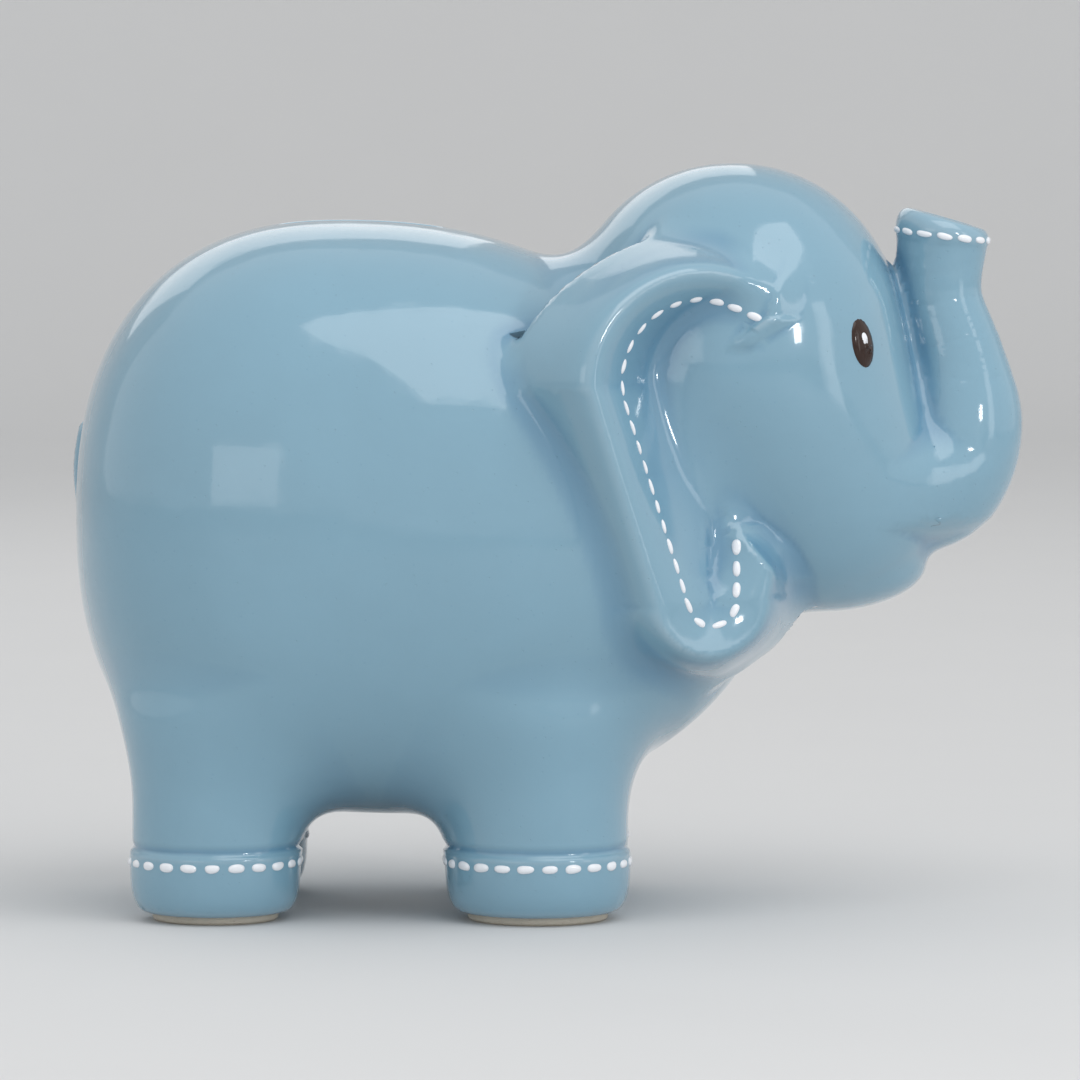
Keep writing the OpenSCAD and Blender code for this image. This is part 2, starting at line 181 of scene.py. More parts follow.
def tube(p, line, radii):
    """A round tube of changing radius along a line of points."""
    best = np.full(len(p), 1.0)
    for a, b, ra, rb in zip(line[:-1], line[1:], radii[:-1], radii[1:]):
        t = np.clip((p - a) @ (b - a) / ((b - a) @ (b - a)), 0, 1)
        gap = np.linalg.norm(p - a - t[:, None] * (b - a), axis=1) - ra - t * (rb - ra)
        best = np.minimum(best, gap)
    return best


# ---- The elephant's skin ----

# The trunk: x, z and radius along its middle line, from inside the muzzle to the tip
TRUNK_PATH = [[0.080, 0.1125, 0.017], [0.092, 0.114, 0.018], [0.1055, 0.1185, 0.019],
              [0.1118, 0.1325, 0.0177], [0.1108, 0.1505, 0.0137], [0.1066, 0.1675, 0.0117],
              [0.1073, 0.1835, 0.0125], [0.1084, 0.1895, 0.0125]]
TRUNK_SEAM = 0.87
TIP_LEAN = math.radians(16)
# The tail lies on the left of the rump: y, z and radius along its middle line
TAIL_PATH = [[0.013, 0.1305, 0.0022], [0.017, 0.1195, 0.0032], [0.023, 0.1075, 0.0032],
             [0.031, 0.0965, 0.0046], [0.035, 0.0925, 0.003]]
# The ear's two middles in the side view, and how its plane flares to the rear
EAR_TOP = np.array([0.0405, 0.1475])
EAR_LOW = np.array([0.0435, 0.088])
EAR_FLARE = 0.6
EAR_ROOT = 0.033
LOBE_DEPTH = 0.007
DISH_REACH = 0.024
# Where the dish opens to the cheek: height and x, and how far and how gently it drops
CHEEK_LINE = np.array([[66, 64], [92, 62], [100, 55], [108, 47], [126, 37], [146, 37],
                       [156, 45], [164, 57], [186, 66]]) / 1000
CHEEK_DROP = 0.037
# The ear's flank: its slope, how much it steepens at the ends and at the front, its rounding
FLANK = (1.7, 3.0, 2.5)
CREST_ROUND = 0.005
CHEEK_WIDTH = 0.014
STITCH_INSET = 0.0075
# Distance from stitch to stitch along the ear's rim and round a foot, and the trunk's count
EAR_PITCH = 0.0056
FOOT_PITCH = 0.0064
TRUNK_STITCHES = 14
EYE_AT = (0.0843, 0.1565)
EYE_TILT = math.radians(14)
SLOT_AT = (-0.052, 0.0)
SEAT_AT = (-0.048, 0.0, 0.0287)
SEAT_R = 0.0155
# The bare rim under each foot: its height, its width and how far inside the leg it lies
RIM_H = 0.002
RIM_W = 0.0065
RIM_INSET = 0.0055


class Skin:
    """The glazed outer surface as one field, made of named parts that blend."""

    def __init__(self, body, details):
        self.b, self.d = body, details
        t = np.linspace(0, 1, 71)
        path = curve(TRUNK_PATH, t)
        self.trunk_line = np.stack([path[:, 0], 0 * t, path[:, 1]], axis=1)
        cap = step((t - TRUNK_SEAM) / 0.03) * 0.0006
        wrinkles = sum(groove(t - w, 0.008) for w in (0.50, 0.60, 0.70))
        self.trunk_radii = path[:, 2] + cap - 0.00035 * wrinkles
        self.trunk_tip = self.trunk_line[-1]
        self.trunk_up = np.array([math.sin(TIP_LEAN), 0, math.cos(TIP_LEAN)])
        tail = curve(TAIL_PATH, np.linspace(0, 1, 13))
        start = np.stack([0 * tail[:, 0] - 0.150, tail[:, 0], tail[:, 1]], axis=1)
        self.tail_line = self.reach(self.body, start, np.array([1.0, 0, 0]))
        self.tail_radii = tail[:, 2]

    def body(self, p):
        b = self.b
        m = p * np.array([1, 0, 1]) + np.abs(p) * np.array([0, 1, 0])
        torso = blend(form(p, b.torso_at, b.torso, 2.4), form(p, b.shoulder_at, b.shoulder), 0.038)
        face = blend(form(p, b.head_at, b.head, 2.1), form(p, b.muzzle_at, b.muzzle, 2.1), 0.032)
        face = blend(face, form(p, b.jaw_at, b.jaw), 0.005)
        d = blend(torso, face, 0.014)
        for at, r in ((b.front_leg, b.front_r), (b.rear_leg, b.rear_r)):
            d = blend(d, post(m, at, r, b.leg_h), 0.018)
        return d

    def cuffed(self, p):
        """The body with its foot cuffs and with its soles cut level."""
        z = p[:, 2]
        top = self.b.cuff_h + 0.0028
        cuff = 0.0007 * step((top - z) / 0.0012) - 0.0005 * groove(z - top - 0.0004, 0.0009)
        return carve(self.body(p) - cuff, RIM_H - z, 0.0016)

    def trunk(self, p):
        d = carve(tube(p, self.trunk_line, self.trunk_radii),
                  (p - self.trunk_tip) @ self.trunk_up, 0.005)
        dimple = np.linalg.norm(p - self.trunk_tip - 0.0115 * self.trunk_up, axis=1) - 0.014
        return carve(d, -dimple, 0.003)

    def beyond_crest(self, x, z):
        """How far outside the ear's crest line a point of the side view lies."""
        q = np.stack([x, z], axis=1) - EAR_TOP
        axis = EAR_LOW - EAR_TOP
        t = np.clip(q @ axis / (axis @ axis), 0, 1)
        gap = np.linalg.norm(q - t[:, None] * axis, axis=1)
        return gap - self.d.ear_r - t * (self.d.lobe_r - self.d.ear_r)

    def crest(self, x):
        return self.d.ear_reach - EAR_FLARE * (x - EAR_TOP[0] + self.d.ear_r)

    def ear_y(self, x, z):
        """The ear's outer surface: a rim with a dish inside that opens forwards to the cheek."""
        u = self.beyond_crest(x, z)
        share = np.clip((z - EAR_LOW[1]) / 0.034, 0, 1)
        dish = (LOBE_DEPTH + share * (self.d.dish_depth - LOBE_DEPTH)) * step(-u / DISH_REACH)
        drop = CHEEK_DROP * step((x - np.interp(z, *CHEEK_LINE.T)) / CHEEK_WIDTH)
        middle_z = np.where(z > EAR_LOW[1], EAR_TOP[1], EAR_LOW[1])
        middle_x = np.where(z > EAR_LOW[1], EAR_TOP[0], EAR_LOW[0])
        rise = np.maximum(np.maximum(z - EAR_TOP[1], EAR_LOW[1] - z), 0)
        steep = rise / np.maximum(np.hypot(x - middle_x, z - middle_z), 1e-6)
        front = step((x - EAR_LOW[0]) / 0.012) * step((0.112 - z) / 0.014)
        fall = FLANK[0] + FLANK[1] * steep ** 2 + FLANK[2] * front
        flank = fall * (np.sqrt(u * u + CREST_ROUND ** 2) - CREST_ROUND)
        return self.crest(x) - np.where(u > 0, flank, dish) - drop

    def ear(self, p, side):
        x, y, z = p[:, 0], side * p[:, 1], p[:, 2]
        h = 0.0004
        here = self.ear_y(x, z)
        slope = np.hypot(self.ear_y(x + h, z) - self.ear_y(x - h, z),
                         self.ear_y(x, z + h) - self.ear_y(x, z - h)) / (2 * h)
        outer = (y - here) / np.sqrt(1 + slope ** 2)
        inner = (self.crest(x) - EAR_ROOT - y) / math.sqrt(1 + EAR_FLARE ** 2)
        return carve(outer, inner, 0.004)

    def tail(self, p):
        return tube(p, self.tail_line, self.tail_radii)

    def parts(self, p):
        """The distance from each named part, one column each."""
        x, y = p[:, 0], p[:, 1]
        beside = (x > -0.022) & (x < 0.100)
        return {"body_shell": self.cuffed(p),
                "trunk": within(p, (x > 0.035) & (np.abs(y) < 0.055), self.trunk),
                "ear_right": within(p, beside & (y < -0.015), lambda q: self.ear(q, -1)),
                "ear_left": within(p, beside & (y > 0.015), lambda q: self.ear(q, 1)),
                "tail": within(p, (x < -0.090) & (y > 0), self.tail)}

    def __call__(self, p):
        d = self.parts(p)
        x, z = p[:, 0], p[:, 2]
        cheek = 0.004 + 0.0155 * step((z - 0.100) / 0.008) * step((0.1365 - z) / 0.018)
        whole = blend(d["body_shell"], d["trunk"], cheek)
        fold = 0.005 + 0.003 * step((x - 0.045) / 0.010)
        whole = blend(whole, np.minimum(d["ear_right"], d["ear_left"]), fold)
        whole = blend(whole, d["tail"], 0.0025)
        return carve(whole, -self.seat(p), 0.0012)

    def seat(self, p):
        """The shallow recess round the hole in the belly, where the stopper's flange lies."""
        r = np.hypot(p[:, 0] - SEAT_AT[0], p[:, 1] - SEAT_AT[1])
        return np.maximum(r - SEAT_R, p[:, 2] - SEAT_AT[2])

    def slot(self, p):
        """The distance in plan from the coin slot's outline."""
        end = (self.d.slot_l - self.d.slot_w) / 2
        x = np.maximum(np.abs(p[:, 0] - SLOT_AT[0]) - end, 0)
        return np.where(p[:, 2] > 0.145, np.hypot(x, p[:, 1]) - self.d.slot_w / 2, FAR)

    def hole(self, p):
        r = np.hypot(p[:, 0] - SEAT_AT[0], p[:, 1] - SEAT_AT[1])
        return np.where(p[:, 2] < 0.045, r - self.d.hole_d / 2, FAR)

    def opened(self, p):
        """The skin with the softened rims of its two openings."""
        return carve(carve(self(p), -self.slot(p), 0.0030), -self.hole(p), 0.0012)

    @staticmethod
    def reach(f, start, direction, sign=1, steps=40):
        """Steps towards the surface of f from outside it, or from inside with sign -1."""
        t = np.zeros(len(start))
        for _ in range(steps):
            t += sign * f(start + t[:, None] * direction)
        return start + t[:, None] * direction

    def slope(self, p, f=None, h=0.0003):
        """The field's gradient at each point."""
        f = f or self
        return np.stack([(f(p + h * a) - f(p - h * a)) / (2 * h) for a in np.eye(3)], axis=1)

    def snap(self, p, rounds=5, most=0.004, f=None):
        """Moves points onto the skin along its slope."""
        f = f or self
        for _ in range(rounds):
            g = self.slope(p, f)
            move = -f(p)[:, None] * g / np.maximum((g * g).sum(axis=1), 0.05)[:, None]
            far = np.linalg.norm(move, axis=1)[:, None]
            p = p + move * np.minimum(1, most / np.maximum(far, 1e-9))
        return p

    def normal(self, p, f=None):
        g = self.slope(p, f)
        return g / np.linalg.norm(g, axis=1)[:, None]

    def bend(self, p, h=0.0022):
        """How sharply the skin bends at each point: over 0 on an edge, under 0 in a crease."""
        near = sum(self(p + h * a) + self(p - h * a) for a in np.eye(3))
        return (near - 6 * self(p)) / h ** 2


# ---- Meshes ----

def vertex_array(mesh):
    out = np.empty(len(mesh.vertices) * 3)
    mesh.vertices.foreach_get("co", out)
    return out.reshape(-1, 3)


def set_vertices(mesh, p):
    mesh.vertices.foreach_set("co", p.ravel())
    mesh.update()


def object_from(bm, name):
    mesh = bpy.data.meshes.new(name)
    bm.to_mesh(mesh)
    bm.free()
    obj = bpy.data.objects.new(name, mesh)
    bpy.context.scene.collection.objects.link(obj)
    return obj


def applied(obj):
    """Applies the object's modifiers to its mesh."""
    bpy.context.view_layer.update()
    seen = obj.evaluated_get(bpy.context.evaluated_depsgraph_get())
    mesh = bpy.data.meshes.new_from_object(seen)
    obj.modifiers.clear()
    old, obj.data = obj.data, mesh
    bpy.data.meshes.remove(old)
    mesh.name = obj.name


def add_ball(bm, to_surface, segments=48):
    """A sphere whose points are moved out to a form's surface by to_surface(direction)."""
    made = bmesh.ops.create_uvsphere(bm, u_segments=segments, v_segments=segments // 2, radius=1)
    for v in made["verts"]:
        v.co = to_surface(v.co.normalized())


def ellipsoid(middle, size, e):
    half = [s / 2 for s in size]

    def to_surface(d):
        k = sum((abs(d[a]) / half[a]) ** e for a in range(3)) ** (1 / e)
        return Vector(middle) + d / k
    return to_surface


def upright(middle, r, h, e=7):
    def to_surface(d):
        k = ((math.hypot(d.x, d.y) / r) ** e + (abs(d.z) / h) ** e) ** (1 / e)
        return Vector(middle) + d / k
    return to_surface


def add_ear_block(bm, skin, side):
    """A slab behind the ear's outer surface, for the remesh to join to the body."""
    made = bmesh.ops.create_grid(bm, x_segments=40, y_segments=60, size=1)
    face_verts = made["verts"]
    faces = list({f for v in face_verts for f in v.link_faces})
    low, high = np.array([-0.008, 0.060]), np.array([0.058, 0.187])
    uv = np.array([[v.co.x, v.co.y] for v in face_verts]) / 2 + 0.5
    xz = low + uv * (high - low)
    root = skin.crest(xz[:, 0]) - EAR_ROOT
    y = np.maximum(skin.ear_y(xz[:, 0], xz[:, 1]), root + 0.0005)
    for v, (x, z), out in zip(face_verts, xz, y):
        v.co = (x, side * out, z)
    thick = dict(zip(face_verts, y - root))
    thin = [f for f in faces if min(thick[v] for v in f.verts) < 0.006]
    faces = [f for f in faces if f not in set(thin)]
    bmesh.ops.delete(bm, geom=thin, context="FACES")
    grown = bmesh.ops.extrude_face_region(bm, geom=faces)
    back = [v for v in grown["geom"] if isinstance(v, bmesh.types.BMVert)]
    for v in back:
        v.co.y = side * (skin.crest(v.co.x) - EAR_ROOT)


VOXEL = 0.0025


def rough_body(skin):
    """The forms joined and remeshed: the topology that the skin is then snapped to."""
    b = skin.b
    bm = bmesh.new()
    for middle, size, e in ((b.torso_at, b.torso, 2.4), (b.shoulder_at, b.shoulder, 2),
                            (b.head_at, b.head, 2.1), (b.muzzle_at, b.muzzle, 2.1),
                            (b.jaw_at, b.jaw, 2)):
        add_ball(bm, ellipsoid(middle, size, e), 64)
    for at, r in ((b.front_leg, b.front_r), (b.rear_leg, b.rear_r)):
        for side in (-1, 1):
            add_ball(bm, upright((at[0], side * at[1], at[2]), r, b.leg_h), 64)
    for line, radii, every in ((skin.trunk_line, skin.trunk_radii, 2),
                               (skin.tail_line, skin.tail_radii, 1)):
        for middle, r in list(zip(line, radii))[::every]:
            add_ball(bm, ellipsoid(middle, (2 * r,) * 3, 2), 24)
    for side in SIDES.values():
        add_ear_block(bm, skin, side)
    bmesh.ops.recalc_face_normals(bm, faces=bm.faces)
    obj = object_from(bm, "rough_body")
    remesh = obj.modifiers.new("Remesh", "REMESH")
    remesh.mode = "VOXEL"
    remesh.voxel_size = VOXEL
    applied(obj)
    return obj


def smooth(bm, verts, times):
    for _ in range(times):
        bmesh.ops.smooth_vert(bm, verts=verts, factor=0.5, use_axis_x=True, use_axis_y=True,
                              use_axis_z=True)


def move_to(verts, p):
    for v, co in zip(verts, p):
        v.co = co


def islands(bm):
    """The mesh's connected sets of faces, smallest first."""
    seen, found = set(), []
    for start in bm.faces:
        if start in seen:
            continue
        island, todo = [], [start]
        seen.add(start)
        while todo:
            face = todo.pop()
            island.append(face)
            near = {g for e in face.edges for g in e.link_faces} - seen
            seen |= near
            todo += near
        found.append(island)
    return sorted(found, key=len)


def relax(mesh, skin, rounds=3):
    """Evens out the mesh, snapping it back onto the skin, and frees any knots."""
    bm = bmesh.new()
    bm.from_mesh(mesh)
    strays = [f for island in islands(bm)[:-1] for f in island]
    bmesh.ops.delete(bm, geom=strays, context="FACES")
    verts = list(bm.verts)
    for _ in range(rounds):
        smooth(bm, verts, 3)
        move_to(verts, skin.snap(np.array([v.co for v in verts]), rounds=2))
    for turn in range(16):
        gap = np.abs(skin(np.array([v.co for v in verts])))
        knots = {v for v, far in zip(verts, gap) if far > 3e-5}
        knots |= {v for f in bm.faces if folded(f) for v in f.verts}
        if not knots:
            break
        for _ in range(2 + turn // 3):
            knots |= {e.other_vert(v) for v in knots for e in v.link_edges}
        knots = sorted(knots, key=lambda v: v.index)
        smooth(bm, knots, 4 + 2 * turn)
        move_to(knots, skin.snap(np.array([v.co for v in knots]), rounds=3))
    bm.to_mesh(mesh)
    bm.free()


def folded(face):
    """True if a face is turned over against its neighbours."""
    face.normal_update()
    return any(g.normal.dot(face.normal) < -0.2 for e in face.edges for g in e.link_faces)


def refine(mesh, snap, near):
    """Splits the faces where near() says that fine detail needs them."""
    bm = bmesh.new()
    bm.from_mesh(mesh)
    middle = np.array([f.calc_center_median() for f in bm.faces])
    picked = near(middle)
    edges = {e for f, pick in zip(bm.faces, picked) if pick for e in f.edges}
    made = bmesh.ops.subdivide_edges(bm, edges=list(edges), cuts=1, use_grid_fill=True)
    new = [v for v in made["geom_split"] if isinstance(v, bmesh.types.BMVert)]
    new += [v for v in made["geom_inner"] if isinstance(v, bmesh.types.BMVert)]
    new = list(set(new))
    for v, co in zip(new, snap(np.array([v.co for v in new]))):
        v.co = co
    bm.to_mesh(mesh)
    bm.free()


def cut(obj, middle, half_length, r, low, high):
    """Cuts an upright, round-ended opening, leaving a pocket that open_rims removes."""
    bm = bmesh.new()
    made = bmesh.ops.create_cone(bm, cap_ends=True, segments=72, radius1=r, radius2=r,
                                 depth=high - low)
    for v in made["verts"]:
        shift = half_length if v.co.x > 1e-7 else -half_length
        v.co += Vector((middle[0] + shift, middle[1], (low + high) / 2))
    cutter = object_from(bm, "cutter")
    tool = obj.modifiers.new("Cut", "BOOLEAN")
    tool.operation, tool.solver, tool.object = "DIFFERENCE", "EXACT", cutter
    applied(obj)
    bpy.data.objects.remove(cutter)


def open_rims(obj, skin):
    """Removes the pockets that the cuts left."""
    bm = bmesh.new()
    bm.from_mesh(obj.data)
    middle = np.array([f.calc_center_median() for f in bm.faces])
    pocket = skin(middle) < -0.0004
    doomed = [f for f, gone in zip(bm.faces, pocket) if gone]
    bmesh.ops.delete(bm, geom=doomed, context="FACES")
    bmesh.ops.remove_doubles(bm, verts=bm.verts, dist=1e-5)
    bm.to_mesh(obj.data)
    bm.free()


def base_skin(skin):
    """The whole outer skin as one fine mesh, with its openings cut."""
    obj = rough_body(skin)
    set_vertices(obj.data, skin.snap(vertex_array(obj.data)))
    relax(obj.data, skin)

    def detail(p):
        x, y, z = p.T
        ears = (np.abs(skin.beyond_crest(x, z)) < 0.009) & (np.abs(y) > 0.030) & (x < 0.075)
        tip = (x > 0.088) & (z > 0.146)
        lip = (x > 0.060) & (z < 0.103) & (z > 0.077)
        top = skin.slot(p) < 0.007
        tail = (x < -0.105) & (y > 0.004) & (y < 0.045) & (z > 0.085) & (z < 0.139)
        feet = (z < 0.0045) | ((z > 0.0160) & (z < 0.0235))
        return feet | ears | tip | lip | top | tail | (skin.seat(p) < 0.003)

    refine(obj.data, skin.snap, detail)
    refine(obj.data, skin.snap, lambda p: skin.slot(p) < 0.0045)
    half = (skin.d.slot_l - skin.d.slot_w) / 2
    cut(obj, SLOT_AT, half, skin.d.slot_w / 2, 0.162, 0.212)
    cut(obj, SEAT_AT, 0, skin.d.hole_d / 2, -0.01, 0.040)
    open_rims(obj, skin)
    refine(obj.data, skin.snap, lambda p: skin.slot(p) < 0.0022)
    p = vertex_array(obj.data)
    near = (skin.slot(p) < 0.004) | (skin.hole(p) < 0.003)
    p[near] = skin.snap(p[near], f=skin.opened)
    set_vertices(obj.data, p)
    return obj


SKIN_PARTS = ("body_shell", "trunk", "ear_right", "ear_left", "tail")
WALLS = {"trunk": 0.003, "ear_right": 0.003, "ear_left": 0.003, "tail": 0.0015}


def part_of(skin, p):
    """Which part of the skin each point belongs to."""
    d = skin.parts(p)
    return np.argmin(np.stack([d[name] for name in SKIN_PARTS], axis=1), axis=1)


def split(obj, skin):
    """Draws each part's border along the line where two parts meet; gives each face its part."""
    mesh = obj.data
    bm = bmesh.new()
    bm.from_mesh(mesh)
    bm.faces.ensure_lookup_table()
    label = part_of(skin, np.array([f.calc_center_median() for f in bm.faces]))
    for _ in range(4):
        for v in bm.verts:
            found = [int(label[f.index]) for f in v.link_faces]
            if len(set(found)) < 2:
                continue
            turns = sum(label[e.link_faces[0].index] != label[e.link_faces[1].index]
                        for e in v.link_edges if len(e.link_faces) == 2)
            if turns > 2 or len(set(found)) > 2:
                label[[f.index for f in v.link_faces]] = min(found)
    border = [v for v in bm.verts if len({label[f.index] for f in v.link_faces}) == 2]
    pairs = [sorted({int(label[f.index]) for f in v.link_faces}) for v in border]
    pairs = np.array(pairs)
    p = np.array([v.co for v in border])
    row = np.arange(len(p))

    def gap(q):
        d = skin.parts(q)
        d = np.stack([d[name] for name in SKIN_PARTS], axis=1)
        return d[row, pairs[:, 0]] - d[row, pairs[:, 1]]

    for _ in range(3):
        n = skin.normal(p)
        g = skin.slope(p, gap)
        g -= (g * n).sum(axis=1)[:, None] * n
        move = -gap(p)[:, None] * g / np.maximum((g * g).sum(axis=1), 0.1)[:, None]
        far = np.linalg.norm(move, axis=1)[:, None]
        p = skin.snap(p + move * np.minimum(1, 0.0005 / np.maximum(far, 1e-9)), rounds=1)
    move_to(border, p)
    fixed = set(border)
    ring = {e.other_vert(v) for v in border for e in v.link_edges} - fixed
    ring |= {e.other_vert(v) for v in ring for e in v.link_edges} - fixed
    ring = sorted((v for v in ring if not v.is_boundary), key=lambda v: v.index)
    smooth(bm, ring, 4)
    move_to(ring, skin.snap(np.array([v.co for v in ring]), rounds=2))
    bm.to_mesh(mesh)
    bm.free()
    return label


def shell_of(whole, label, part, wall, skin):
    """One part of the skin as its own closed shell, with its wall grown inwards."""
    bm = bmesh.new()
    bm.from_mesh(whole.data)
    others = [f for f in bm.faces if label[f.index] != part]
    bmesh.ops.delete(bm, geom=others, context="FACES")
    strays = [f for island in islands(bm)[:-1] for f in island]
    bmesh.ops.delete(bm, geom=strays, context="FACES")
    obj = object_from(bm, SKIN_PARTS[part] + "_glazed")
    thick = obj.modifiers.new("Wall", "SOLIDIFY")
    thick.thickness, thick.offset = wall, -1
    applied(obj)
    square_rims(obj, skin, wall)
    return obj


def square_rims(obj, skin, wall):
    """Stands the walls of the coin slot and the belly hole upright."""
    bm = bmesh.new()
    bm.from_mesh(obj.data)
    p = np.array([v.co for v in bm.verts])
    outer = np.abs(skin.opened(p)) < 2e-4
    slot, hole = skin.slot(p), skin.hole(p)
    end = (skin.d.slot_l - skin.d.slot_w) / 2
    for e in bm.edges:
        a, b = e.verts
        if outer[a.index] == outer[b.index]:
            continue
        top, low = (a, b) if outer[a.index] else (b, a)
        i = top.index
        if slot[i] < 0.0008:
            x = top.co.x - SLOT_AT[0]
            core = Vector((SLOT_AT[0] + max(-end, min(end, x)), 0, 0))
            out = Vector((top.co.x, top.co.y, 0)) - core
            flat = core + out.normalized() * skin.d.slot_w / 2
            low.co = (flat.x, flat.y, top.co.z - wall)
        elif hole[i] < 0.0008:
            out = Vector((top.co.x - SEAT_AT[0], top.co.y - SEAT_AT[1], 0)).normalized()
            flat = Vector(SEAT_AT) + out * skin.d.hole_d / 2
            low.co = (flat.x, flat.y, top.co.z + wall)
    bm.to_mesh(obj.data)
    bm.free()


def glaze_normals(obj, skin):
    """Takes the shading of the outer skin from the skin itself, so no seam shows."""
    mesh = obj.data
    p = vertex_array(mesh)
    on_skin = np.abs(skin.opened(p)) < 1e-4
    n = skin.normal(p, skin.opened)
    loops = np.empty(len(mesh.loops), dtype=int)
    mesh.loops.foreach_get("vertex_index", loops)
    normals = np.zeros((len(loops), 3))
    edge_uses = {}
    for face in mesh.polygons:
        span = slice(face.loop_start, face.loop_start + face.loop_total)
        outside = on_skin[loops[span]].all()
        if outside:
            normals[span] = n[loops[span]]
        for key in face.edge_keys:
            edge_uses.setdefault(key, set()).add(bool(outside))
    mesh.shade_smooth()
    for e in mesh.edges:
        if len(edge_uses.get(tuple(sorted(e.vertices)), ())) == 2:
            e.use_edge_sharp = True
    mesh.normals_split_custom_set(normals)
    # bend marks edges and creases at a fine scale; hollow marks the ear's deep dish at a wide
    # scale, which the glaze turns into painted shade.
    for name, h in (("bend", 0.0022), ("hollow", 0.009)):
        bend = np.where(on_skin, skin.bend(p, h), 0)
        mesh.attributes.new(name, "FLOAT", "POINT").data.foreach_set("value", bend)


# ---- Materials ----

class Sock:
    """A value in a material: arithmetic on it adds Math nodes."""

    def __init__(self, finish, socket):
        self.finish, self.socket = finish, socket

    def math(self, operation, *values, clamp=False):
        return self.finish.node("ShaderNodeMath", {"operation": operation, "use_clamp": clamp},
                                *values)

    def __add__(self, other):
        return self.math("ADD", self, other)

    def __sub__(self, other):
        return self.math("SUBTRACT", self, other)

    def __rsub__(self, other):
        return self.math("SUBTRACT", other, self)

    def __mul__(self, other):
        return self.math("MULTIPLY", self, other)

    def __truediv__(self, other):
        return self.math("DIVIDE", self, other)

    def __pow__(self, other):
        return self.math("POWER", self, other)

    def clamped(self):
        return self.math("ADD", self, 0.0, clamp=True)

    __radd__, __rmul__ = __add__, __mul__


class Finish:
    """One material and the nodes that make it."""

    def __init__(self, name, **shader):
        self.material = bpy.data.materials.new(name)
        self.material.use_nodes = True
        self.tree = self.material.node_tree
        self.tree.nodes.clear()
        self.shader = self.tree.nodes.new("ShaderNodeBsdfPrincipled")
        out = self.tree.nodes.new("ShaderNodeOutputMaterial")
        self.tree.links.new(self.shader.outputs[0], out.inputs[0])
        for key, value in shader.items():
            self.shader.inputs[key.replace("_", " ")].default_value = value
        self.place = self.node("ShaderNodeTexCoord", out="Object")

    def node(self, kind, settings=None, *values, out=0, **named):
        """Adds a node: its settings first, then the values or links of its sockets."""
        node = self.tree.nodes.new(kind)
        for key, value in (settings or {}).items():
            setattr(node, key, value)
        sockets = list(zip(node.inputs, values))
        sockets += [(node.inputs[key.replace("_", " ")], v) for key, v in named.items()]
        for socket, value in sockets:
            if isinstance(value, Sock):
                self.tree.links.new(value.socket, socket)
            else:
                socket.default_value = value
        return Sock(self, node.outputs[out])

    def feed(self, **named):
        for key, value in named.items():
            self.tree.links.new(value.socket, self.shader.inputs[key.replace("_", " ")])

    def noise(self, scale, detail=2.0, rough=0.5, place=None, lumpy=0.0):
        return self.node("ShaderNodeTexNoise", None, Vector=place or self.place, Scale=scale,
                         Detail=detail, Roughness=rough, Distortion=lumpy, out="Fac")

    def spots(self, scale, size, softness=0.35):
        """Round spots, 1 inside and 0 outside, sparse where size is small."""
        gap = self.node("ShaderNodeTexVoronoi", None, Vector=self.place, Scale=scale,
                        out="Distance")
        return ((size - gap) / (size * softness)).clamped()

    def mix(self, share, a, b):
        node = self.tree.nodes.new("ShaderNodeMix")
        node.data_type, node.clamp_factor = "RGBA", True
        for socket, value in ((node.inputs[0], share), (node.inputs[6], a), (node.inputs[7], b)):
            if isinstance(value, Sock):
                self.tree.links.new(value.socket, socket)
            else:
                socket.default_value = (*value, 1) if hasattr(value, "__len__") else value
        return Sock(self, node.outputs[2])

    def attribute(self, name):
        return self.node("ShaderNodeAttribute", {"attribute_name": name}, out="Fac")

    def bump(self, height, distance, strength=1.0, under=None):
        named = {"Normal": under} if under else {}
        return self.node("ShaderNodeBump", None, Height=height, Distance=distance,
                         Strength=strength, out="Normal", **named)


def glaze_finish(c):
    """Glossy blue glaze that pools in creases and breaks thin over edges, with painted shade
    darkening the deep dish of each ear.
    """
    f = Finish("pooled_and_shaded_blue_glaze", IOR=1.52, Coat_Roughness=0.02, Coat_IOR=1.5)
    bend = f.attribute("bend")
    hollow = f.attribute("hollow")
    # Fine creases take real pooled glaze; the wide hollow of each ear's dish adds painted shade in
    # the same dark colour.
    pool_and_dish_shade = ((bend * -0.0032).clamped() ** 0.8 + (hollow * -0.0075).clamped() * 0.7).clamped()
    thin = ((bend - 150) * 0.0020).clamped()
    cloud = f.noise(22, 3, 0.55)
    streak = f.noise(60, 4, 0.6, lumpy=0.6)
    fine = f.noise(1400, 2)
    pale = [x * 1.07 for x in c.glaze]
    deep = [x * 0.92 for x in c.glaze]
    base = f.mix(cloud * 0.7 + streak * 0.3, deep, pale)
    base = f.mix(pool_and_dish_shade * 0.85, base, tuple(c.glaze_pool_and_shade))
    base = f.mix(thin * (0.45 + 0.5 * streak), base, tuple(c.glaze_thin))
    specks = f.spots(260, 0.085)
    base = f.mix(specks * 0.22, base, tuple(c.glaze_pool_and_shade))
    base = f.mix(fine * 0.05, base, tuple(c.glaze_pool_and_shade))
    rough = 0.085 + 0.05 * streak + specks * 0.12
    swell = f.bump(f.noise(26, 2, 0.5), 0.0011)
    ripple = f.bump(f.noise(120, 2, 0.5), 0.00011, under=swell)
    pits = f.bump(1 - f.spots(330, 0.07), 0.00008, under=ripple)
    f.feed(Base_Color=base, Roughness=rough, Normal=pits)
    f.shader.inputs["Coat Weight"].default_value = 0.6
    return f.material


